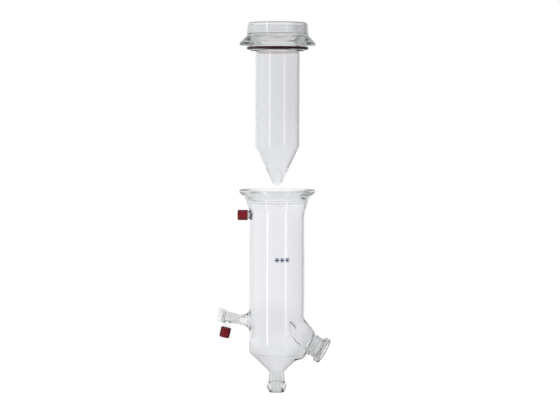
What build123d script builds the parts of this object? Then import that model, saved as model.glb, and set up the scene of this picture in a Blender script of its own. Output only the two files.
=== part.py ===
from build123d import *
import math
import os

os.makedirs("parts", exist_ok=True)

# Cold-finger condenser for a rotary evaporator, drawn apart: the cold finger is held above the
# open jacket. The glass pieces are hollow all through.
#
# Frame: millimetres, +Z up. The origin is the centre of the ball of the receiver joint at the
# jacket's lower end, on the jacket's axis. The vapour neck leaves towards +X, the vacuum port
# and the feed valve towards -X.

# ---------------------------------------------------------------- driving dimensions
# jacket body
BALL_BORE_R = 10.0       # bore of the receiver ball joint
BALL_CUT = 12.0          # lower end of the ball below its centre
TUBE_R = 50.0            # jacket tube, outside
TUBE_WALL = 3.2
TOP_Z = 359.0            # sealing face of the jacket flange
FLANGE_R = 69.0          # both flanges
FLANGE_RIM = 4.4         # straight edge of the flange
JACKET_MOUTH_R = 51.8    # bore of the jacket flange

# cold finger; heights are measured from its sealing face
LIFT = 262.0             # its sealing face above the jacket's
FACE_Z = TOP_Z + LIFT
FINGER_R = 40.0          # tube, outside
FINGER_WALL = 3.0
FINGER_TIP = 253.5       # depth of the tip below the sealing face
FINGER_TIP_R = 10.5
CONE_HALF_DEG = 25.3     # half angle of the cone between tube and tip
COLLAR_H = 41.5          # above the sealing face
COLLAR_R = 54.0
SPIGOT_R = 50.3
SPIGOT_H = 11.4

# flange O-ring
SEAL_CORD_R = 2.5
SEAL_INNER_R = 51.0
SEAL_DROP = 2.6          # gap between the finger's sealing face and the O-ring

# vapour neck; places along it are measured from the jacket's axis
NECK_DROP_DEG = 27.6     # below the horizontal
NECK_TURN_DEG = 13.0     # about the jacket's axis, from +X towards -Y
NECK_Z = 112.9           # height at which its axis crosses the jacket's axis
NECK_R = 18.6
NECK_BORE_R = 15.4
NECK_START = 68.0        # inner end of its turned part, within the trumpet
NECK_STEP = 2.5          # the turned part starts this much narrower
NECK_MOUTH_R = NECK_BORE_R + 1.8
NECK_FACE = 101.2
NECK_FLANGE_R = 23.7
NECK_FLANGE_T = 8.8

# widened root of the vapour neck, as ovals followed by two circles
# distance from the jacket's axis, height, tilt in degrees, half width, half height
TRUMPET_OVALS = [
    (30.6, 85.8, 10.3, 33.5, 48.6),
    (51.4, 79.3, 16.8, 25.4, 32.7),
    (60.8, 76.4, 22.4, 20.6, 23.4),
]
TRUMPET_CIRCLES_AT = (73.0, 76.0)
TRUMPET_WALL = 3.4

# screw ports, caps and liners
GAP = 0.05               # running gap between pieces that touch
PITCH = 2.5
PORT_ROOT_R = 6.1
PORT_CREST_R = 6.95
PORT_BORE_R = 3.8
PORT_THREAD_BACK = 12.2  # start of the port's thread, back from the port's end
PORT_THREAD_TURNS = 4.0
PORT_THREAD_HALF_W = 0.62
CAP_R = 9.3
CAP_SKIRT_R = CAP_R - 0.35
CAP_LIP_R = CAP_R + 0.15
CAP_H = 18.2
CAP_BORE_R = 7.3
CAP_LINER_SEAT_R = CAP_BORE_R - 0.7
CAP_MOUTH_R = CAP_BORE_R + 0.7
CAP_TOP = 2.2            # thickness of the closed end
CAP_RIBS = 24
CAP_RIB_R = 0.5
CAP_RIB_AXIS_R = CAP_R - 0.42
CAP_RIB_TOP = 1.6        # rib cylinder's end below the cap's closed end
CAP_RIB_FOOT = 2.1       # rib's other end from the cap's open end
CAP_THREAD_CREST_R = PORT_ROOT_R + 0.32
CAP_THREAD_TURNS = 3.0
CAP_THREAD_HALF_W = 0.5
LINER_T = 2.0
LINER_R = 6.2
LINER_EDGE_R = 0.3

# vacuum port
VAC_Z = 312.6
VAC_START = 40.0         # inner end of the port and its bore, from the jacket's axis
VAC_CAP_FACE = 72.0      # outer end of the cap, from the jacket's axis

# feed valve; places along the barrel are measured from the jacket's axis
FEED_RISE_DEG = 12.5     # the barrel's outer end is the higher one
FEED_Z = 106.0           # height at which its axis crosses the jacket's axis
BARREL_START = 36.0
BARREL_BORE_R = 5.6      # inward of the seat
BARREL_SEAT_END = 67.0   # narrow end of the tapered seat
BARREL_SEAT_TOP = 96.0   # wide end of the tapered seat
BARREL_MOUTH = 101.5
BARREL_LIP_R = 12.1
FEED_PORT_AT = 90.4      # the inlet's place along the barrel
INLET_START = 2.0        # inner end of the inlet's glass, from the barrel's axis
FEED_CAP_FACE = 38.2     # outer end of the feed cap, from the barrel's axis

# feed valve plug
PLUG_BIG_R = 7.6
TAPER = 0.05             # radius per length
PLUG_GAP = 0.04          # radial gap to the seat
PLUG_R = PLUG_BIG_R - PLUG_GAP
PLUG_TIP = BARREL_SEAT_END + 1.4
PLUG_BORE_R = 2.2
PLUG_BORE_PAST = 1.8     # blind bore's end beyond the inlet's axis
PLUG_CROSS_R = 2.4
PLUG_CROSS_LEN = 12.0
GROOVE_START = 97.0
GROOVE_END = 99.2
GROOVE_R = PLUG_BIG_R - 1.6
PLUG_SEAL_R = PLUG_BIG_R - 0.85   # centre line of the seal's cord
PLUG_SEAL_CORD_R = 0.72
HEAD_R = 12.7
HEAD_SIDE_R = HEAD_R - 0.3
HEAD_IN = BARREL_MOUTH + 0.3
HEAD_OUT = 110.6
HEAD_RIBS = 30
HEAD_RIB_R = 0.55
HEAD_RIB_AXIS_R = HEAD_R - 0.45
HEAD_RIB_IN = BARREL_MOUTH + 1.2
HEAD_RIB_LEN = HEAD_OUT - BARREL_MOUTH - 3.2
DISH_R = 9.2
DISH_DEPTH = 0.8
DISH_CUTTER_H = 2.0
POINTER_W = 2.4
POINTER_LEN = 18.0
POINTER_H = 1.0

# printed pictogram on the jacket
MARK_Z = 234.2
MARK_TURN_DEG = 13.0     # about the jacket's axis, from -Y towards +X
MARK_ARM = 4.7
MARK_ARM_OVERLAP = 0.4   # extra arm length, joining neighbouring signs
MARK_STROKE = 1.5
MARK_CORE_R = 1.9        # hexagon at the middle of each sign
MARK_IN = 0.01           # enamel's inner and outer faces, off the tube
MARK_OUT = 0.09
MARK_BAND_H = 30.0
MARK_REACH = 60.0        # extrusion from the axis, past the tube wall

# how far the cutters run past the glass
OVERRUN = 5.0            # jacket and vapour neck
BORE_OVERRUN = 3.0       # ports and barrel

UPWARD = (Align.CENTER, Align.CENTER, Align.MIN)
DOWNWARD = (Align.CENTER, Align.CENTER, Align.MAX)


# ---------------------------------------------------------------- profiles and threads
def cos_sin(degrees):
    angle = math.radians(degrees)
    return math.cos(angle), math.sin(angle)


def rounded_edges(points, closed=True):
    """Edges in the XZ plane through (radius, z, corner radius) points, corners as tangent arcs."""
    count = len(points)
    corners = []  # start, middle and end of each corner's arc
    for i, (x, z, radius) in enumerate(points):
        corner = Vector(x, 0, z)
        if radius <= 0:
            corners.append((corner, None, corner))
            continue
        before, after = points[i - 1], points[(i + 1) % count]
        back = (Vector(before[0], 0, before[1]) - corner).normalized()
        ahead = (Vector(after[0], 0, after[1]) - corner).normalized()
        half = math.acos(max(-1, min(1, back.dot(ahead)))) / 2
        setback = radius / math.tan(half)
        centre = corner + (back + ahead).normalized() * (radius / math.sin(half))
        middle = centre + (corner - centre).normalized() * radius
        corners.append((corner + back * setback, middle, corner + ahead * setback))

    edges = []
    for i, (start, middle, end) in enumerate(corners):
        if middle is not None:
            edges.append(ThreePointArc(start, middle, end))
        if closed or i + 1 < count:
            next_start = corners[(i + 1) % count][0]
            if (next_start - end).length > 1e-6:
                edges.append(Line(end, next_start))
    return edges


def turned(points):
    """Solid of revolution about Z from (radius, z, corner radius) points."""
    return Rot(0, 0, 90) * revolve(make_face(rounded_edges(points)), Axis.Z, 360)


def along(origin, direction):
    """Location whose local Z runs along direction."""
    return Location(Plane(origin=origin, x_dir=(0, 1, 0), z_dir=direction))


def ridge(root_r, crest_r, half_width, turns, start_z, inward=False):
    """Rounded helical ridge, right-handed about +Z, starting at start_z on +X."""
    embed = 0.45  # depth sunk into the wall that carries it
    base = root_r + embed if inward else root_r - embed
    path = Helix(pitch=PITCH, height=PITCH * turns, radius=root_r)
    face = make_face([
        Line((base, 0, -half_width), (root_r, 0, -half_width)),
        ThreePointArc((root_r, 0, -half_width), (crest_r, 0, 0), (root_r, 0, half_width)),
        Line((root_r, 0, half_width), (base, 0, half_width)),
        Line((base, 0, half_width), (base, 0, -half_width)),
    ])
    return Pos(0, 0, start_z) * sweep(face, path=path, is_frenet=True)


# ---------------------------------------------------------------- joining with a filleted seam
def seam_edges(joined, first, second, tolerance=0.02):
    """Edges of joined that lie on the skins of both bodies."""
    skins = (first.shells()[0], second.shells()[0])
    found = []
    for edge in joined.edges():
        samples = (edge.position_at(0.37), edge.position_at(0.71))
        if all(skin.distance_to(p) < tolerance for skin in skins for p in samples):
            found.append(edge)
    return found


def fillet_first_valid(shape, edges, radii):
    """Fillet with the first radius that gives one valid solid; sharp if none does."""
    for radius in radii:
        # The kernel raises where a radius doesn't fit the seam; the next one is tried then.
        try:
            rounded = fillet(edges, radius)
            if rounded.is_valid and len(rounded.solids()) == 1:
                return rounded
        except Exception:
            continue
    return shape


def join(body, branch, radii, root=None):
    """Fuse branch to body and fillet the seam; root is the part of branch that meets body."""
    joined = body + branch
    seam = seam_edges(joined, body, branch if root is None else root)
    return fillet_first_valid(joined, seam, radii)


# ---------------------------------------------------------------- axes of the side branches
def port_end(cap_face):
    """Outer end of a glass port whose cap's outer end is at cap_face."""
    return cap_face - CAP_TOP - LINER_T - 2 * GAP


neck_cos, neck_sin = cos_sin(NECK_DROP_DEG)
neck_turn = Rot(0, 0, -NECK_TURN_DEG)
neck_loc = neck_turn * along((0, 0, NECK_Z), Vector(neck_cos, 0, -neck_sin))

vac_loc = along((0, 0, VAC_Z), Vector(-1, 0, 0))
vac_end = port_end(VAC_CAP_FACE)

# the inlet hangs from the barrel, square to its axis
feed_cos, feed_sin = cos_sin(FEED_RISE_DEG)
feed_dir = Vector(-feed_cos, 0, feed_sin)
feed_loc = along((0, 0, FEED_Z), feed_dir)
inlet_origin = Vector(0, 0, FEED_Z) + feed_dir * FEED_PORT_AT
inlet_loc = along(inlet_origin, Vector(-feed_sin, 0, -feed_cos))
inlet_end = port_end(FEED_CAP_FACE)


# ---------------------------------------------------------------- jacket
# Profile tables hold radius, height along the local axis, corner radius.
def jacket_outside():
    return turned([
        (0, -BALL_CUT, 0),
        # ball and stem
        (12.9, -BALL_CUT, 0.6),
        (13.9, -10.6, 1.2),
        (17.2, -4.5, 8),
        (17.6, 1.5, 6),
        (15.2, 6.0, 3.0),
        (14.2, 12.0, 12),
        (12.9, 24.5, 9),
        # cone and tube
        (17.5, 29.5, 6),
        (TUBE_R, 61.5, 13),
        (TUBE_R, TOP_Z - 41.0, 40),
        # flare and flange
        (55.7, TOP_Z - 23.5, 9),
        (57.3, TOP_Z - 16.6, 6),
        (FLANGE_R, TOP_Z - FLANGE_RIM - 0.8, 1.2),
        (FLANGE_R, TOP_Z, 0.9),
        (0, TOP_Z, 0),
    ])


def jacket_inside():
    bore_r = TUBE_R - TUBE_WALL
    return turned([
        (0, -BALL_CUT - OVERRUN, 0),
        (BALL_BORE_R, -BALL_CUT - OVERRUN, 0),
        (BALL_BORE_R, 24.5, 14),
        (13.0, 29.5, 12),
        (bore_r, 63.3, 10),
        (bore_r, TOP_Z - 45, 40),
        (JACKET_MOUTH_R, TOP_Z - 20.0, 45),
        (JACKET_MOUTH_R, TOP_Z + OVERRUN, 0),
        (0, TOP_Z + OVERRUN, 0),
    ])


def trumpet(wall, end_r):
    """Root of the vapour neck, from a tall oval inside the jacket to the round neck."""
    sections = []
    for x, z, tilt, half_width, half_height in TRUMPET_OVALS:
        tilt_cos, tilt_sin = cos_sin(tilt)
        plane = Plane(origin=(x, 0, z), x_dir=(0, 1, 0), z_dir=(tilt_cos, 0, -tilt_sin))
        sections.append(neck_turn * plane * Ellipse(half_width - wall, half_height - wall))
    for distance in TRUMPET_CIRCLES_AT:
        sections.append(neck_loc * Pos(0, 0, distance) * Circle(end_r))
    return loft(sections)


def neck_outside():
    flange_back = NECK_FACE - NECK_FLANGE_T
    return neck_loc * turned([
        (0, NECK_START, 0),
        (NECK_R - NECK_STEP, NECK_START, 0),
        (NECK_R - NECK_STEP, 73.6, 0),
        # bead round the neck
        (NECK_R + 1.2, 76.0, 1.6),
        (NECK_R + 1.2, 78.4, 1.6),
        (NECK_R, 79.8, 1.5),
        # flange
        (NECK_R, flange_back - 3.5, 4),
        (NECK_FLANGE_R, flange_back, 2.4),
        (NECK_FLANGE_R, NECK_FACE - 1.5, 1.6),
        (NECK_FLANGE_R - 1.6, NECK_FACE, 0.6),
        (0, NECK_FACE, 0),
    ])


def neck_inside():
    return neck_loc * turned([
        (0, NECK_START, 0),
        (NECK_BORE_R - NECK_STEP, NECK_START, 0),
        (NECK_BORE_R - NECK_STEP, 73.0, 0),
        # hollow under the bead
        (NECK_BORE_R + 0.6, 75.2, 0.8),
        (NECK_BORE_R + 0.6, 77.2, 0.8),
        (NECK_BORE_R, 78.2, 0.5),
        # step to the wider mouth
        (NECK_BORE_R, 84.5, 0),
        (NECK_MOUTH_R, 85.5, 0.5),
        (NECK_MOUTH_R, NECK_FACE + OVERRUN, 0),
        (0, NECK_FACE + OVERRUN, 0),
    ])


def port_outside(start, end):
    """Glass stub of a screw port, with a rounded outer end."""
    return turned([
        (0, start, 0),
        (PORT_ROOT_R, start, 0),
        (PORT_ROOT_R, end, 0.9),
        (0, end, 0),
    ])


def port_bore(start, end):
    return Pos(0, 0, start) * Cylinder(PORT_BORE_R, end - start + BORE_OVERRUN, align=UPWARD)


def port_thread(end):
    return ridge(PORT_ROOT_R, PORT_CREST_R, PORT_THREAD_HALF_W, PORT_THREAD_TURNS,
                 end - PORT_THREAD_BACK)


def seat_r(distance):
    """Radius of the tapered seat at a distance along the barrel."""
    return PLUG_BIG_R - TAPER * (BARREL_SEAT_TOP - distance)


def barrel_outside():
    return feed_loc * turned([
        (0, BARREL_START, 0),
        (8.4, BARREL_START, 0),
        (8.6, BARREL_SEAT_END - 3, 20),
        (10.1, 92.0, 6),
        (10.3, 96.8, 2),
        (BARREL_LIP_R, 98.6, 1.2),
        (BARREL_LIP_R, BARREL_MOUTH, 1.0),
        (0, BARREL_MOUTH, 0),
    ])


def barrel_inside():
    mouth_r = PLUG_BIG_R + 1.0
    return feed_loc * turned([
        (0, BARREL_START, 0),
        (BARREL_BORE_R, BARREL_START, 0),
        (BARREL_BORE_R, BARREL_SEAT_END - 1, 1.5),
        (seat_r(BARREL_SEAT_END), BARREL_SEAT_END, 0),
        (PLUG_BIG_R, BARREL_SEAT_TOP, 0),
        (PLUG_BIG_R, BARREL_MOUTH - 1.0, 0),
        (mouth_r, BARREL_MOUTH + 0.001, 0),
        (mouth_r, BARREL_MOUTH + BORE_OVERRUN, 0),
        (0, BARREL_MOUTH + BORE_OVERRUN, 0),
    ])


def jacket_skin():
    """The jacket as a filled body, with its four branches."""
    root = trumpet(0.0, NECK_R)
    skin = join(jacket_outside(), root + neck_outside(), [10, 8, 6, 4, 2], root=root)
    skin = join(skin, vac_loc * port_outside(VAC_START, vac_end), [3.2, 2.4, 1.6, 1.0])
    skin = join(skin, barrel_outside(), [13, 11, 9, 7, 5, 3])
    return join(skin, inlet_loc * port_outside(INLET_START, inlet_end), [1.8, 1.5, 1.0, 0.6])


def jacket_hollow():
    """The space inside the jacket and its branches."""
    hollow = join(jacket_inside(), trumpet(TRUMPET_WALL, NECK_BORE_R), [13, 11, 9, 7, 5, 3])
    hollow = hollow + neck_inside()
    hollow = join(hollow, vac_loc * port_bore(VAC_START, vac_end), [2.5, 1.5, 1.0])
    hollow = join(hollow, barrel_inside(), [11, 9, 7, 5, 3])
    return hollow + inlet_loc * port_bore(0, inlet_end)


def build_jacket():
    jacket = jacket_skin() - jacket_hollow()
    for location, end in ((vac_loc, vac_end), (inlet_loc, inlet_end)):
        jacket = jacket + location * port_thread(end)
    return jacket


# ---------------------------------------------------------------- cold finger
def build_cold_finger():
    """One closed wall, its profile running up the outside and back down the inside."""
    bore_r = FINGER_R - FINGER_WALL
    tip_z = -FINGER_TIP + FINGER_TIP_R  # centre of the tip sphere

    def cone_top(tip_r, tube_r):
        """Height at which the cone tangent to the tip sphere meets the tube."""
        half = math.radians(CONE_HALF_DEG)
        return tip_z - tip_r / math.sin(half) + tube_r / math.tan(half)

    def tip_arc(tip_r):
        """Points of the tip's arc: where the cone touches it, its middle, its lowest."""
        side_cos, side_sin = cos_sin(CONE_HALF_DEG)
        middle_cos, middle_sin = cos_sin((90 + CONE_HALF_DEG) / 2)
        return (
            Vector(tip_r * side_cos, 0, tip_z - tip_r * side_sin),
            Vector(tip_r * middle_cos, 0, tip_z - tip_r * middle_sin),
            Vector(0, 0, tip_z - tip_r),
        )

    inner_tip_r = FINGER_TIP_R - FINGER_WALL
    outer_side, outer_middle, outer_bottom = tip_arc(FINGER_TIP_R)
    inner_side, inner_middle, inner_bottom = tip_arc(inner_tip_r)
    edges = rounded_edges([
        (outer_side.X, outer_side.Z, 0),
        (FINGER_R, cone_top(FINGER_TIP_R, FINGER_R), 7),
        # spigot and flange
        (FINGER_R, -SPIGOT_H, 1.6),
        (SPIGOT_R - 1.2, -SPIGOT_H, 3.4),
        (SPIGOT_R, 0, 0.9),
        (FLANGE_R, 0, 0.9),
        (FLANGE_R, FLANGE_RIM, 1.2),
        # collar, outside then inside
        (57.0, 16.2, 5),
        (55.6, 21.0, 9),
        (COLLAR_R, COLLAR_H, 3.4),
        (COLLAR_R - 5.2, COLLAR_H, 1.6),
        (COLLAR_R - 4.0, COLLAR_H - 7, 8),
        (COLLAR_R - 4.8, 14.5, 9),
        # bore
        (bore_r, -4.5, 16),
        (bore_r, cone_top(inner_tip_r, bore_r), 6),
        (inner_side.X, inner_side.Z, 0),
    ], closed=False)
    edges += [
        ThreePointArc(inner_side, inner_middle, inner_bottom),
        Line(inner_bottom, outer_bottom),
        ThreePointArc(outer_bottom, outer_middle, outer_side),
    ]
    return Pos(0, 0, FACE_Z) * revolve(make_face(edges), Axis.Z, 360)


def build_flange_seal():
    ring = Torus(SEAL_INNER_R + SEAL_CORD_R, SEAL_CORD_R)
    return Pos(0, 0, FACE_Z - SEAL_DROP - SEAL_CORD_R) * ring


# ---------------------------------------------------------------- caps and liners
def build_cap():
    """Screw cap, local +Z outward, closed end at z = 0, open end at z = -CAP_H."""
    body = turned([
        (0, 0, 0),
        (CAP_SKIRT_R, 0, 1.3),
        (CAP_SKIRT_R, -CAP_H + 2.2, 0),
        (CAP_LIP_R, -CAP_H + 2.0, 0.15),
        (CAP_LIP_R, -CAP_H, 0.3),
        (0, -CAP_H, 0),
    ])
    rib_top = Pos(CAP_RIB_AXIS_R, 0, -CAP_RIB_TOP)
    rib_length = CAP_H - CAP_RIB_TOP - CAP_RIB_FOOT
    rib = rib_top * Cylinder(CAP_RIB_R, rib_length, align=DOWNWARD) + rib_top * Sphere(CAP_RIB_R)
    for i in range(CAP_RIBS):
        body = body + Rot(0, 0, 360 / CAP_RIBS * i) * rib

    liner_back = -CAP_TOP - LINER_T
    body = body - turned([
        (0, -CAP_TOP, 0),
        (CAP_LINER_SEAT_R, -CAP_TOP, 0),
        (CAP_LINER_SEAT_R, liner_back - 0.4, 0),
        (CAP_BORE_R, liner_back - 1.1, 0),
        (CAP_BORE_R, -CAP_H + 0.8, 0),
        (CAP_MOUTH_R, -CAP_H - 0.001, 0),
        (CAP_MOUTH_R, -CAP_H - 1, 0),
        (0, -CAP_H - 1, 0),
    ])
    # the cap's ridge lies half a pitch from the glass ridge
    start_z = port_end(0) - PORT_THREAD_BACK + PITCH / 2
    return body + ridge(CAP_BORE_R, CAP_THREAD_CREST_R, CAP_THREAD_HALF_W, CAP_THREAD_TURNS,
                        start_z, inward=True)


def build_liner():
    """Disc under the cap's closed end, in the cap's frame."""
    top = -CAP_TOP - GAP
    return turned([
        (0, top, 0),
        (LINER_R, top, LINER_EDGE_R),
        (LINER_R, top - LINER_T, LINER_EDGE_R),
        (0, top - LINER_T, 0),
    ])


# ---------------------------------------------------------------- feed valve plug
def build_plug():
    plug = turned([
        # tapered key
        (0, PLUG_TIP, 0),
        (seat_r(PLUG_TIP) - PLUG_GAP, PLUG_TIP, 0.8),
        (seat_r(95.6) - PLUG_GAP, 95.6, 0),
        (PLUG_R, 96.4, 0),
        # seal groove
        (PLUG_R, GROOVE_START, 0),
        (GROOVE_R, GROOVE_START, 0),
        (GROOVE_R, GROOVE_END, 0),
        (PLUG_R, GROOVE_END, 0),
        # head
        (PLUG_R, HEAD_IN, 0),
        (HEAD_R - 0.9, HEAD_IN, 0),
        (HEAD_SIDE_R, BARREL_MOUTH + 0.9, 0),
        (HEAD_SIDE_R, HEAD_OUT - 1.4, 0.9),
        (HEAD_R - 1.8, HEAD_OUT, 0.8),
        (0, HEAD_OUT, 0),
    ])
    rib = Pos(HEAD_RIB_AXIS_R, 0, HEAD_RIB_IN) * Cylinder(HEAD_RIB_R, HEAD_RIB_LEN, align=UPWARD)
    for i in range(HEAD_RIBS):
        plug = plug + Rot(0, 0, 360 / HEAD_RIBS * i) * rib

    # dished face with a raised pointer rib
    dish = Pos(0, 0, HEAD_OUT - DISH_DEPTH) * Cylinder(DISH_R, DISH_CUTTER_H, align=UPWARD)
    pointer = Box(POINTER_W, POINTER_LEN, POINTER_H, align=UPWARD)
    plug = plug - dish + Pos(0, 0, HEAD_OUT - POINTER_H) * pointer

    # blind bore from the tip, met by a cross hole from the inlet
    bore_length = FEED_PORT_AT - BARREL_SEAT_END + PLUG_BORE_PAST
    plug = plug - Pos(0, 0, BARREL_SEAT_END) * Cylinder(PLUG_BORE_R, bore_length, align=UPWARD)
    cross_hole = inlet_loc * Cylinder(PLUG_CROSS_R, PLUG_CROSS_LEN, align=UPWARD)
    return feed_loc * plug - cross_hole


def build_plug_seal():
    """O-ring at the middle of the plug's groove."""
    groove_middle = (GROOVE_START + GROOVE_END) / 2
    return feed_loc * Pos(0, 0, groove_middle) * Torus(PLUG_SEAL_R, PLUG_SEAL_CORD_R)


# ---------------------------------------------------------------- printed pictogram
def build_mark():
    """Three six-armed frost signs in a row, a thin layer of enamel on the jacket."""
    arm = Pos(MARK_ARM / 2, 0) * Rectangle(MARK_ARM + MARK_ARM_OVERLAP, MARK_STROKE)
    sign = RegularPolygon(MARK_CORE_R, 6)
    for i in range(6):
        sign = sign + Rot(0, 0, 60 * i) * arm
    row = sign + Pos(-2 * MARK_ARM, 0) * sign + Pos(2 * MARK_ARM, 0) * sign

    turn_cos, turn_sin = cos_sin(MARK_TURN_DEG)
    plane = Plane(
        origin=(0, 0, MARK_Z), x_dir=(turn_cos, turn_sin, 0), z_dir=(turn_sin, -turn_cos, 0)
    )
    block = extrude(plane * row, MARK_REACH)
    outer = Cylinder(TUBE_R + MARK_OUT, MARK_BAND_H)
    inner = Cylinder(TUBE_R + MARK_IN, MARK_BAND_H + 1)
    return Pos(0, 0, MARK_Z) * (outer - inner) & block


# ---------------------------------------------------------------- write
def save(name, shape):
    solids = shape.solids()
    piece = solids[0] if len(solids) == 1 else Compound(children=list(solids))
    export_step(piece, f"parts/{name}.step")


if __name__ == "__main__":
    save("condenser_jacket", build_jacket())
    save("cold_finger", build_cold_finger())
    save("flange_seal", build_flange_seal())
    cap = build_cap()
    liner = build_liner()
    for port, location, cap_face in (
        ("vacuum", vac_loc, VAC_CAP_FACE),
        ("feed", inlet_loc, FEED_CAP_FACE),
    ):
        save(f"{port}_cap", location * Pos(0, 0, cap_face) * cap)
        save(f"{port}_cap_liner", location * Pos(0, 0, cap_face) * liner)
    save("feed_valve_plug", build_plug())
    save("feed_plug_seal", build_plug_seal())
    save("printed_mark", build_mark())
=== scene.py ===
import math

import bpy
from mathutils import Matrix, Vector


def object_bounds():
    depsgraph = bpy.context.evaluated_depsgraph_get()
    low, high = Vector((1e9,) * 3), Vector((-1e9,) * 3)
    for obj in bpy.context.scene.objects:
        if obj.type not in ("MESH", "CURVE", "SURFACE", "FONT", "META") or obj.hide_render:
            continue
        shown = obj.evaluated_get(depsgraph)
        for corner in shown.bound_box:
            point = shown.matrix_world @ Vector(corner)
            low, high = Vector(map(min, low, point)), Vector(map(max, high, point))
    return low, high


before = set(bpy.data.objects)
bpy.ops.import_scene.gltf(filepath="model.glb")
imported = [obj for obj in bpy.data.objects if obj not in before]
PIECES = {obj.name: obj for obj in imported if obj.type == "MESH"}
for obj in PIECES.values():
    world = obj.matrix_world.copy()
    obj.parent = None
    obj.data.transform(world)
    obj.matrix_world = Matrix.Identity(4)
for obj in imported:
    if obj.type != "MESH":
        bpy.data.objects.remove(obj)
cad_low, cad_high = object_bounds()
scene = bpy.context.scene

# Floor disc
FLOOR_RADIUS = 0.75
FLOOR_SIDES = 96
FLOOR_GAP = 0.0015                  # below the lowest point of the glass

# Camera: metres and degrees
AIM_RIGHT, AIM_Z = 0.0052, 0.322    # the point looked at, right of the axis and above z = 0
CAMERA_DISTANCE, CAMERA_Z = 3.300, 0.513
CAMERA_TURN = math.radians(2.0)     # round +Z, from straight in front
CAMERA_ROLL = math.radians(0.18)
VIEW_WIDTH = 1.02088                # width of the view at the aim
SENSOR_WIDTH = 36.0                 # mm

AIM = Vector((AIM_RIGHT * math.cos(CAMERA_TURN), AIM_RIGHT * math.sin(CAMERA_TURN), AIM_Z))
EYE = Vector((
    CAMERA_DISTANCE * math.sin(CAMERA_TURN) + AIM.x,
    -CAMERA_DISTANCE * math.cos(CAMERA_TURN) + AIM.y,
    CAMERA_Z,
))
REACH = (AIM - EYE).length


# ---------------------------------------------------------------- node helpers
class Signal:
    """A node's output. Arithmetic on it adds Math nodes; [name] picks another output."""

    def __init__(self, nodes, socket):
        self.nodes = nodes
        self.socket = socket

    def __getitem__(self, name):
        return Signal(self.nodes, self.socket.node.outputs[name])

    def __add__(self, other):
        return self.nodes.math("ADD", self, other)

    def __sub__(self, other):
        return self.nodes.math("SUBTRACT", self, other)

    def __rsub__(self, other):
        return self.nodes.math("SUBTRACT", other, self)

    def __mul__(self, other):
        return self.nodes.math("MULTIPLY", self, other)

    def __truediv__(self, other):
        return self.nodes.math("DIVIDE", self, other)

    def __abs__(self):
        return self.nodes.math("ABSOLUTE", self)

    def scaled(self, by, plus):
        return self.nodes.math("MULTIPLY_ADD", self, by, plus)

    def larger(self, other):
        return self.nodes.math("MAXIMUM", self, other)

    def below(self, limit):
        return self.nodes.math("LESS_THAN", self, limit)

    def root(self):
        return self.nodes.math("SQRT", self)

    def step(self, zero, one):
        """A smooth change from 0 at `zero` to 1 at `one`, level beyond them."""
        inputs = {"Value": self, "From Min": zero, "From Max": one}
        return self.nodes.add("MapRange", inputs, interpolation_type="SMOOTHSTEP")

    def band(self, first, second):
        """1 between two soft edges, each given as (zero, one)."""
        return self.step(*first) * self.step(*second)

    def split(self):
        parts = self.nodes.add("SeparateXYZ", {0: self})
        return [parts[axis] for axis in "XYZ"]

    def ramp(self, stops):
        """Colour ramp; stops are (position, (red, green, blue))."""
        ramp = self.nodes.add("ValToRGB", {"Fac": self})
        elements = ramp.socket.node.color_ramp.elements
        while len(elements) > 1:
            elements.remove(elements[-1])
        elements[0].position = stops[0][0]
        elements[0].color = (*stops[0][1], 1)
        for position, colour in stops[1:]:
            elements.new(position).color = (*colour, 1)
        return ramp

    def threshold(self, black, white):
        return self.ramp([(black, (0, 0, 0)), (white, (1, 1, 1))])

    def noise(self, scale, detail, roughness):
        inputs = {"Vector": self, "Scale": scale, "Detail": detail, "Roughness": roughness}
        return self.nodes.add("TexNoise", inputs)

    def bump(self, strength, distance):
        inputs = {"Strength": strength, "Distance": distance, "Height": self}
        return self.nodes.add("Bump", inputs)


class Nodes:
    """The node tree of a material or world, emptied so that it can be built step by step."""

    def __init__(self, owner):
        owner.use_nodes = True
        self.tree = owner.node_tree
        self.tree.nodes.clear()

    def add(self, kind, inputs=(), **settings):
        """Add a node, with its inputs keyed by name or number, and return its first output."""
        node = self.tree.nodes.new("ShaderNode" + kind)
        for name, value in settings.items():
            setattr(node, name, value)
        for key, value in dict(inputs).items():
            socket = node.inputs[key]
            if isinstance(value, Signal):
                self.tree.links.new(value.socket, socket)
            elif socket.type == "RGBA":
                socket.default_value = (*value, 1)
            else:
                socket.default_value = value
        return Signal(self, node.outputs[0] if node.outputs else None)

    def math(self, operation, *values):
        return self.add("Math", enumerate(values), operation=operation)

    def mix(self, factor, first, second, blend="MIX"):
        inputs = {0: factor, 6: first, 7: second}
        return self.add("Mix", inputs, data_type="RGBA", blend_type=blend)[2]

    def mix_shader(self, factor, first, second):
        return self.add("MixShader", {0: factor, 1: first, 2: second})

    def facing(self):
        """0 where the surface faces the view, rising towards its outline."""
        return self.add("LayerWeight", {"Blend": 0.5})["Facing"]

    def place(self, scale=(1, 1, 1), rotation=(0, 0, 0), location=(0, 0, 0)):
        """Object coordinates, mapped."""
        return self.add("Mapping", {
            "Vector": self.add("TexCoord")["Object"],
            "Location": location,
            "Rotation": rotation,
            "Scale": scale,
        })


def new_material(name):
    material = bpy.data.materials.new(name)
    return material, Nodes(material)


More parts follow.
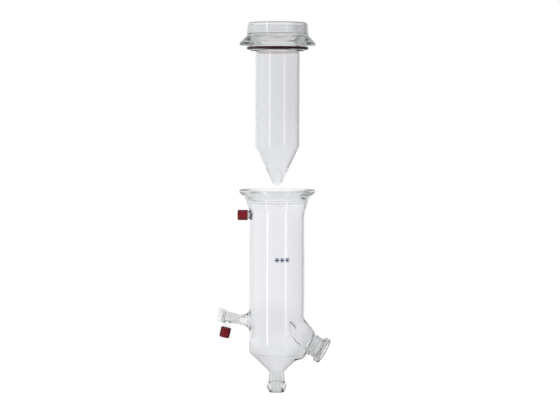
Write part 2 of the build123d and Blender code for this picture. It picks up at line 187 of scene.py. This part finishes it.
# ---------------------------------------------------------------- glass
def glass_material(name, tint, haze, density, absorb, zones, ground, seed, quiet_tip):
    """Blown glass: clear, slightly wavy, faintly hazed by handling, tinted where it is thick.

    zones(nodes, x, y, z) gives (weight, colour) pairs of painted light and shade that tint it
    place by place.
    ground(nodes, x, y, z) is 1 on the faces that are ground flat.
    """
    material, nodes = new_material(name)
    x, y, z = nodes.add("TexCoord")["Object"].split()
    drawn_place = nodes.place(scale=(1, 1, 0.22), location=(seed, 0, 0))    # stretched along Z
    place = nodes.place(location=(0, seed, 0))

    waves = drawn_place.noise(scale=26.0, detail=2.0, roughness=0.45)
    ripples = place.noise(scale=160.0, detail=3.0, roughness=0.55)
    wave_share, ripple_share = 1.0, 0.05
    normal = (waves * wave_share + ripples * ripple_share).bump(strength=0.05, distance=0.004)

    smear = place.noise(scale=34.0, detail=6.0, roughness=0.7)
    marks = smear.threshold(black=0.45, white=0.75)
    polished = marks.scaled(by=0.018, plus=0.002)
    ground_face = ground(nodes, x, y, z)
    grit = place.noise(scale=1400.0, detail=2.0, roughness=0.6)
    roughness = polished + ground_face * grit.scaled(by=0.12, plus=0.30)

    colour = nodes.mix(0.0, tint, tint)
    # painted light and shade: each zone tints the clear glass lighter or darker
    for weight, shade in zones(nodes, x, y, z):
        colour = nodes.mix(weight, colour, shade)
    glass = nodes.add("BsdfPrincipled", {
        "Base Color": colour,
        "Roughness": roughness,
        "IOR": 1.473,
        "Transmission Weight": 1.0,
        "Normal": normal,
    })

    haze_colour = {"Color": (0.86, 0.87, 0.90)}
    soft = nodes.mix_shader(
        0.5,
        nodes.add("BsdfDiffuse", haze_colour),
        nodes.add("BsdfTranslucent", haze_colour),
    )
    surface = nodes.mix_shader(marks.scaled(by=haze * 0.8, plus=haze), glass, soft)

    # lamps pass the glass with a small loss, as they do through a thin clear wall
    shadow_ray = nodes.add("LightPath")["Is Shadow Ray"]
    lamp_pass = nodes.add("BsdfTransparent", {"Color": (0.93, 0.94, 0.94)})
    surface = nodes.mix_shader(shadow_ray, surface, lamp_pass)
    if quiet_tip:
        # hidden where seen steeply from below: its lower part early, all of it when steeper
        view_z = nodes.add("NewGeometry")["Incoming"].split()[2]
        hidden = (view_z.below(-0.16) * z.below(0.400)).larger(view_z.below(-0.80))
        surface = nodes.mix_shader(hidden, surface, nodes.add("BsdfTransparent"))

    volume = nodes.add("VolumeAbsorption", {"Color": absorb, "Density": density})
    nodes.add("OutputMaterial", {"Surface": surface, "Volume": volume})
    return material


def line_mask(x, z, start, span, curve, strength):
    """`strength` along a drawn line, 0 away from it.

    The line is x = c0 + c1*along + c2*along^2, with along = (z - start) / span.
    """
    half_width = 0.0009
    c0, c1, c2 = curve
    along = (z - start) / span
    line_x = along.scaled(by=c1, plus=c0) + along * along * c2
    slope = along.scaled(by=2 * c2, plus=c1) / span
    lean = slope.scaled(by=slope, plus=1.0).root()
    away = abs(x - line_x) / lean
    return away.step(zero=half_width * 1.5, one=half_width * 0.4) * strength


def jacket_zones(nodes, x, y, z):
    # Painted light and shade: the clear glass is tinted darker on its right side, low down, in
    # the cone and the ball, and along the vapour neck and its end, and lighter at its left end.
    low = z.step(zero=0.165, one=0.125)
    cone = z.step(zero=0.100, one=0.044)
    ball = z.step(zero=0.030, one=0.022)
    right_side_shade = x.step(zero=0.014, one=0.036) * z.step(zero=0.345, one=0.270)

    # distance out along the vapour neck, which runs right, a little forward and down
    neck_x, neck_y, neck_drop, neck_start_z = 0.8635, -0.1994, 0.4633, 0.1129
    out = x * neck_x + y * neck_y + (neck_start_z - z) * neck_drop
    neck = out.step(zero=0.046, one=0.060) * z.step(zero=0.150, one=0.140)

    # painted shade: a dark line where the neck opens into the jacket, heavier low down and at its
    # top corner, full on the front wall and faint on the back wall
    front_wall = y.step(zero=-0.012, one=-0.018)
    back_wall = y.step(zero=0.012, one=0.018) * 0.12
    walls = front_wall.larger(back_wall)
    heavy = z.band((0.0925, 0.0885), (0.0755, 0.0815)).scaled(by=0.58, plus=0.30)
    joint_shade_strength = heavy * z.band((0.1235, 0.1215), (0.068, 0.072))
    joint_shade_line = line_mask(
        x, z, start=0.100, span=0.03,
        curve=(0.02735, -0.01285, 0.01334), strength=joint_shade_strength,
    )
    corner_strength = z.band((0.1238, 0.1222), (0.1040, 0.1150))
    corner = line_mask(
        x, z, start=0.122, span=0.016,
        curve=(0.0255, -0.0180, -0.0070), strength=corner_strength,
    )
    painted_joint_shade = joint_shade_line.larger(corner) * walls
    # painted shade: a thin dark line round the jacket at the lip
    lip_shade_line = z.band((0.3352, 0.3358), (0.3372, 0.3366))
    left_end_light = x.step(zero=-0.052, one=-0.058)
    neck_end = out.step(zero=0.0885, one=0.0925)
    return [
        (right_side_shade, (0.922, 0.924, 0.942)),
        (low, (0.931, 0.933, 0.950)),
        (right_side_shade * low, (0.905, 0.907, 0.924)),
        (cone, (0.888, 0.891, 0.904)),
        (left_end_light, (0.992, 0.993, 0.998)),
        (ball, (0.826, 0.831, 0.835)),
        (neck, (0.812, 0.817, 0.826)),
        (neck_end, (0.776, 0.777, 0.774)),
        (lip_shade_line, (0.840, 0.842, 0.840)),
        (painted_joint_shade, (0.230, 0.235, 0.250)),
    ]


def jacket_ground(nodes, x, y, z):
    """The level face on top of the jacket."""
    normal_z = nodes.add("NewGeometry")["True Normal"].split()[2]
    return normal_z.step(zero=0.97, one=0.99) * z.step(zero=0.3575, one=0.3588)


def axis_distance(x, y):
    return (x * x + y * y).root()


def finger_zones(nodes, x, y, z):
    # Painted light and shade: the clear glass is tinted lighter on the left of the tube and low
    # down on it, on the thick ring and inside it, and darker on the right of the tube, at the
    # collar, on the right wall and towards the thick ring's outline.
    top = cad_high[2]
    reach = axis_distance(x, y)
    collar = z.step(zero=0.606, one=0.616)
    tube = z.step(zero=0.606, one=0.600)
    thick = z.band((0.618, 0.623), (0.640, 0.632))
    outer = reach.step(zero=0.0535, one=0.0575)
    outline = nodes.facing().step(zero=0.40, one=0.66)
    # painted shade tinged red by the seal's reflection, on the spigot under the seal, heavier on
    # its back
    spigot_red_shade = z.band((0.6050, 0.6065), (0.6135, 0.6120)) * reach.step(zero=0.0385, one=0.0400)
    back = y.step(zero=-0.004, one=0.010)
    inner = z.band((0.602, 0.608), (0.6415, 0.6385)) * reach.step(zero=0.0525, one=0.0500)
    # painted shade: dark lines at the top rim and round the front of the waist
    rim_shade_line = z.step(zero=top - 0.0024, one=top - 0.0013)
    front_waist_shade = z.band((0.6404, 0.6410), (0.6428, 0.6422)) * y.step(zero=0.004, one=-0.004)
    right_wall = x.step(zero=0.020, one=0.036) * z.step(zero=0.641, one=0.643)
    left_tube = tube * x.step(zero=-0.004, one=-0.024)
    right_tube = tube * x.step(zero=0.010, one=0.024)
    lower_tube = z.step(zero=0.520, one=0.430) * 0.45
    return [
        (left_tube, (0.922, 0.925, 0.942)),
        (right_tube, (0.874, 0.874, 0.896)),
        (lower_tube, (0.960, 0.962, 0.975)),
        (collar, (0.880, 0.884, 0.896)),
        (right_wall, (0.740, 0.742, 0.756)),
        (thick * outer, (0.985, 0.985, 0.985)),
        (thick * outer * outline, (0.670, 0.682, 0.670)),
        (inner, (0.985, 0.986, 0.990)),
        (rim_shade_line, (0.500, 0.505, 0.512)),
        (front_waist_shade, (0.560, 0.565, 0.575)),
        (spigot_red_shade, (0.820, 0.750, 0.775)),
        (spigot_red_shade * back, (0.560, 0.470, 0.500)),
    ]


def finger_ground(nodes, x, y, z):
    """A level ring round the finger's collar."""
    ring_z, tolerance = 0.621, 0.0004
    reach = axis_distance(x, y)
    return abs(z - ring_z).below(tolerance) * reach.step(zero=0.0505, one=0.0515)


# ---------------------------------------------------------------- other materials
def cap_material(name, seed, low_red, high_red, dark, shade_from):
    """Moulded screw cap: mottled red, rubbed lighter on its edges, with painted shade where it
    turns away.
    """
    material, nodes = new_material(name)
    place = nodes.place(location=(seed, seed, 0))
    cloud = place.noise(scale=60.0, detail=4.0, roughness=0.55)
    colour = cloud.ramp([(0.3, low_red), (0.7, high_red)])
    rubbed = nodes.add("NewGeometry")["Pointiness"].threshold(black=0.5, white=0.6)
    colour = nodes.mix(rubbed * 0.30, colour, (0.42, 0.03, 0.04))
    # painted shade: the red darkens towards near black where the surface turns away from the view
    turned_away_shade = nodes.facing().step(zero=shade_from, one=0.55)
    colour = nodes.mix(turned_away_shade * dark, colour, (0.030, 0.001, 0.004))
    grain = place.noise(scale=2600.0, detail=2.0, roughness=0.5)
    plastic = nodes.add("BsdfPrincipled", {
        "Base Color": colour,
        "Roughness": cloud.scaled(by=0.16, plus=0.36),
        "IOR": 1.42,
        "Coat Weight": 0.04,
        "Coat Roughness": 0.25,
        "Normal": grain.bump(strength=0.12, distance=0.0002),
    })
    nodes.add("OutputMaterial", {"Surface": plastic})
    return material


def rubber_material(name, dark, light, roughness, sheen):
    """Moulded rubber: dull, dusty, slightly mottled."""
    material, nodes = new_material(name)
    place = nodes.place()
    cloud = place.noise(scale=45.0, detail=5.0, roughness=0.6)
    dust = place.noise(scale=900.0, detail=2.0, roughness=0.6)
    colour = cloud.ramp([(0.3, dark), (0.75, light)])
    dusty = dust.threshold(black=0.62, white=0.8) * 0.18
    grain = place.noise(scale=1500.0, detail=3.0, roughness=0.6)
    rubber = nodes.add("BsdfPrincipled", {
        "Base Color": nodes.mix(dusty, colour, (0.45, 0.40, 0.38)),
        "Roughness": cloud.scaled(by=0.2, plus=roughness),
        "Sheen Weight": sheen,
        "Normal": grain.bump(strength=0.25, distance=0.0002),
    })
    nodes.add("OutputMaterial", {"Surface": rubber})
    return material


def ptfe_material(name, tilt):
    """Turned PTFE: milky, waxy, with the fine rings of the lathe tool, and a faint painted glow.
    It tilts round Y.
    """
    material, nodes = new_material(name)
    place = nodes.place(rotation=(0, tilt, 0))
    rings = nodes.add(
        "TexWave",
        {"Vector": place, "Scale": 700.0, "Distortion": 0.4},
        wave_type="BANDS", bands_direction="X", wave_profile="SIN",
    )["Fac"]
    cloud = place.noise(scale=70.0, detail=4.0, roughness=0.55)
    solid = nodes.add("BsdfPrincipled", {
        "Base Color": cloud.ramp([(0.3, (0.86, 0.865, 0.86)), (0.7, (0.93, 0.93, 0.925))]),
        "Roughness": cloud.scaled(by=0.15, plus=0.34),
        "IOR": 1.35,
        "Normal": rings.bump(strength=0.03, distance=0.0001),
        # painted light: a faint glow brightens the plug inside the glass
        "Emission Color": (0.97, 0.97, 1.0),
        "Emission Strength": 0.24,
    })
    # milky: a good part of the light from behind comes through
    through = nodes.add("BsdfTranslucent", {"Color": (0.95, 0.95, 0.95)})
    nodes.add("OutputMaterial", {"Surface": nodes.mix_shader(0.5, solid, through)})
    return material


def enamel_material(name):
    """Fired blue print: a thin glossy glaze with the dotty coverage of a screen print."""
    material, nodes = new_material(name)
    place = nodes.place()
    dots = place.noise(scale=1800.0, detail=2.0, roughness=0.5)
    cloud = place.noise(scale=220.0, detail=3.0, roughness=0.6)
    blue = cloud.ramp([(0.3, (0.050, 0.062, 0.150)), (0.75, (0.075, 0.090, 0.190))])
    sparse = dots.threshold(black=0.6, white=0.8) * 0.35
    glaze = nodes.add("BsdfPrincipled", {
        "Base Color": nodes.mix(sparse, blue, (0.30, 0.33, 0.45)),
        "Roughness": 0.3,
        "Normal": dots.bump(strength=0.2, distance=0.00005),
    })
    nodes.add("OutputMaterial", {"Surface": glaze})
    return material


def floor_material():
    """Glowing white paper, dimmed in reflections and where seen steeply through glass."""
    material, nodes = new_material("floor_paper")
    path = nodes.add("LightPath")
    through_glass = path["Is Transmission Ray"]
    mirrored = path["Is Glossy Ray"] * (1.0 - through_glass)
    view_z = nodes.add("NewGeometry")["Incoming"].split()[2]
    steep = abs(view_z).step(zero=math.sin(math.radians(12)), one=math.sin(math.radians(31)))
    full_glow, mirror_loss, steep_loss = 0.96, 0.86, 0.24
    strength = full_glow - mirrored * mirror_loss - through_glass * (steep * steep_loss)
    glow = nodes.add("Emission", {"Color": (1, 1, 1), "Strength": strength})
    fibres = nodes.place().noise(scale=400.0, detail=4.0, roughness=0.6)
    grey = fibres.ramp([(0.3, (0.085, 0.085, 0.085)), (0.7, (0.10, 0.10, 0.10))])
    paper = nodes.add("BsdfDiffuse", {"Color": grey})
    nodes.add("OutputMaterial", {"Surface": nodes.add("AddShader", {0: glow, 1: paper})})
    return material


# ---------------------------------------------------------------- looks of the pieces
def assign(piece, material):
    """Put the material in every slot of the piece."""
    slots = PIECES[piece].data.materials
    if not slots:
        slots.append(material)
    for i in range(len(slots)):
        slots[i] = material


def dress_pieces():
    jacket_glass = glass_material(
        "jacket_glass_look", tint=(0.972, 0.974, 0.992), haze=0.004,
        density=5.0, absorb=(0.66, 0.77, 0.71),
        zones=jacket_zones, ground=jacket_ground, seed=0.0, quiet_tip=False,
    )
    finger_glass = glass_material(
        "finger_glass_look", tint=(0.905, 0.908, 0.928), haze=0.012,
        density=14.0, absorb=(0.675, 0.725, 0.705),
        zones=finger_zones, ground=finger_ground, seed=3.7, quiet_tip=True,
    )
    assign("condenser_jacket", jacket_glass)
    assign("cold_finger", finger_glass)
    assign("flange_seal", rubber_material(
        "flange_rubber_look", dark=(0.022, 0.004, 0.007), light=(0.045, 0.007, 0.012),
        roughness=0.42, sheen=0.05,
    ))
    assign("vacuum_cap", cap_material(
        "vacuum_cap_look", seed=0.0, low_red=(0.270, 0.012, 0.024),
        high_red=(0.380, 0.019, 0.036), dark=0.85, shade_from=0.06,
    ))
    # the same red plastic as the vacuum cap, its reds darkened as painted shade
    assign("feed_cap", cap_material(
        "feed_cap_look", seed=1.3, low_red=(0.180, 0.003, 0.008),
        high_red=(0.270, 0.007, 0.013), dark=0.95, shade_from=0.00,
    ))
    liner = rubber_material(
        "liner_look", dark=(0.62, 0.60, 0.55), light=(0.72, 0.70, 0.65),
        roughness=0.45, sheen=0.0,
    )
    assign("vacuum_cap_liner", liner)
    assign("feed_cap_liner", liner)
    assign("feed_valve_plug", ptfe_material("plug_look", tilt=math.radians(12.5)))
    assign("feed_plug_seal", rubber_material(
        "plug_rubber_look", dark=(0.012, 0.012, 0.013), light=(0.03, 0.03, 0.03),
        roughness=0.45, sheen=0.0,
    ))
    assign("printed_mark", enamel_material("blue_enamel_look"))


# ---------------------------------------------------------------- floor and camera
def make_floor():
    """A level disc, as a fan of triangles round its centre."""
    verts = [(0, 0, 0)]
    faces = []
    for i in range(FLOOR_SIDES):
        angle = 2 * math.pi * i / FLOOR_SIDES
        verts.append((FLOOR_RADIUS * math.cos(angle), FLOOR_RADIUS * math.sin(angle), 0))
        faces.append((0, i + 1, (i + 1) % FLOOR_SIDES + 1))
    mesh = bpy.data.meshes.new("floor")
    mesh.from_pydata(verts, [], faces)
    floor = bpy.data.objects.new("floor", mesh)
    scene.collection.objects.link(floor)
    floor.location.z = cad_low[2] - FLOOR_GAP
    mesh.materials.append(floor_material())


def make_camera():
    lens = bpy.data.cameras.new("camera")
    lens.sensor_width = SENSOR_WIDTH
    lens.lens = SENSOR_WIDTH * REACH / VIEW_WIDTH
    lens.clip_start = 0.05
    lens.clip_end = 100.0
    camera = bpy.data.objects.new("camera", lens)
    scene.collection.objects.link(camera)
    scene.camera = camera
    facing = (AIM - EYE).normalized().to_track_quat("-Z", "Y").to_matrix().to_4x4()
    camera.rotation_mode = "QUATERNION"
    camera.location = EYE
    camera.rotation_quaternion = (facing @ Matrix.Rotation(CAMERA_ROLL, 4, "Z")).to_quaternion()
    return camera


# ---------------------------------------------------------------- light
# Brightness round the horizon by share of a full turn, as (turn, colour):
# 0 and 1 are behind the camera, 0.25 is left, 0.5 straight ahead, 0.75 right.
HORIZON = [
    (0.00, (0.030, 0.030, 0.040)),
    (0.12, (0.035, 0.035, 0.045)),
    (0.19, (0.45, 0.46, 0.46)),
    (0.26, (0.80, 0.82, 0.81)),
    (0.38, (0.80, 0.83, 0.815)),
    (0.43, (0.86, 0.88, 0.87)),
    (0.465, (1.00, 1.00, 1.00)),
    (0.50, (1.00, 1.00, 1.00)),
    (0.54, (1.00, 1.00, 1.00)),
    (0.575, (0.60, 0.60, 0.61)),
    (0.66, (0.28, 0.28, 0.29)),
    (0.78, (0.06, 0.06, 0.07)),
    (1.00, (0.030, 0.030, 0.040)),
]
# Dimming away from the horizon, up or down, as (share of a right angle, colour)
ROOF = [
    (0.14, (1, 1, 1)),
    (0.30, (0.82, 0.82, 0.83)),
    (0.60, (0.80, 0.80, 0.81)),
    (0.80, (0.88, 0.88, 0.88)),
]
ZENITH = (0.86, 0.87, 0.87)


def make_studio():
    """A studio that turns with the camera, and that the camera itself sees as plain white."""
    world = bpy.data.worlds.new("studio")
    scene.world = world
    nodes = Nodes(world)
    direction = nodes.add(
        "VectorTransform", {0: nodes.add("TexCoord")["Generated"]},
        vector_type="VECTOR", convert_from="WORLD", convert_to="CAMERA",
    )
    x, y, z = direction.split()    # in shader camera space +Z is straight ahead
    turn = nodes.math("ARCTAN2", x, z).scaled(by=1 / (2 * math.pi), plus=0.5)
    rise = abs(nodes.math("ARCSINE", y))
    roof = (rise / (math.pi / 2)).ramp(ROOF)
    wrap = nodes.mix(1.0, turn.ramp(HORIZON), roof, blend="MULTIPLY")
    overhead = rise.step(zero=math.radians(45), one=math.radians(68))
    wrap = nodes.mix(overhead, wrap, ZENITH)
    camera_ray = nodes.add("LightPath")["Is Camera Ray"]
    colour = nodes.mix(camera_ray, wrap, (1, 1, 1))
    background = nodes.add("Background", {"Color": colour, "Strength": 1.0})
    nodes.add("OutputWorld", {"Surface": background})


def soft_box(camera, name, side, up, distance, width, height, power):
    """An upright soft box that rides with the camera and is turned to the object.

    side is in degrees at the object, from the camera's direction, + to the right.
    """
    light = bpy.data.lights.new(name, "AREA")
    light.shape = "RECTANGLE"
    light.size = width
    light.size_y = height
    light.energy = power
    box = bpy.data.objects.new(name, light)
    scene.collection.objects.link(box)
    angle = math.radians(side)
    place = Vector((distance * math.sin(angle), up, -REACH + distance * math.cos(angle)))
    box.parent = camera
    box.location = place
    back = (place - Vector((0, up, -REACH))).normalized()
    upward = Vector((0, 1, 0))
    axes = Matrix((upward.cross(back), upward, back)).transposed()
    box.rotation_mode = "QUATERNION"
    box.rotation_quaternion = axes.to_quaternion()
    return box


def make_lights(camera):
    soft_box(camera, "strip_left", side=-42, up=0.0, distance=2.2,
             width=0.30, height=3.0, power=9.0)
    soft_box(camera, "strip_right", side=32, up=0.0, distance=2.2,
             width=0.20, height=3.0, power=1.5)
    fill = soft_box(camera, "fill", side=-25, up=0.9, distance=2.6,
                    width=1.8, height=1.8, power=30.0)
    fill.visible_glossy = False
    fill.visible_transmission = False


def set_render():
    view = scene.view_settings
    view.view_transform = "Standard"
    view.look = "None"
    view.exposure = 0.0
    view.gamma = 1.0
    cycles = scene.cycles
    cycles.max_bounces = 28
    cycles.transmission_bounces = 28
    cycles.glossy_bounces = 8
    cycles.transparent_max_bounces = 24
    cycles.diffuse_bounces = 4
    cycles.use_denoising = True


dress_pieces()
make_floor()
scene_camera = make_camera()
make_studio()
make_lights(scene_camera)
set_render()
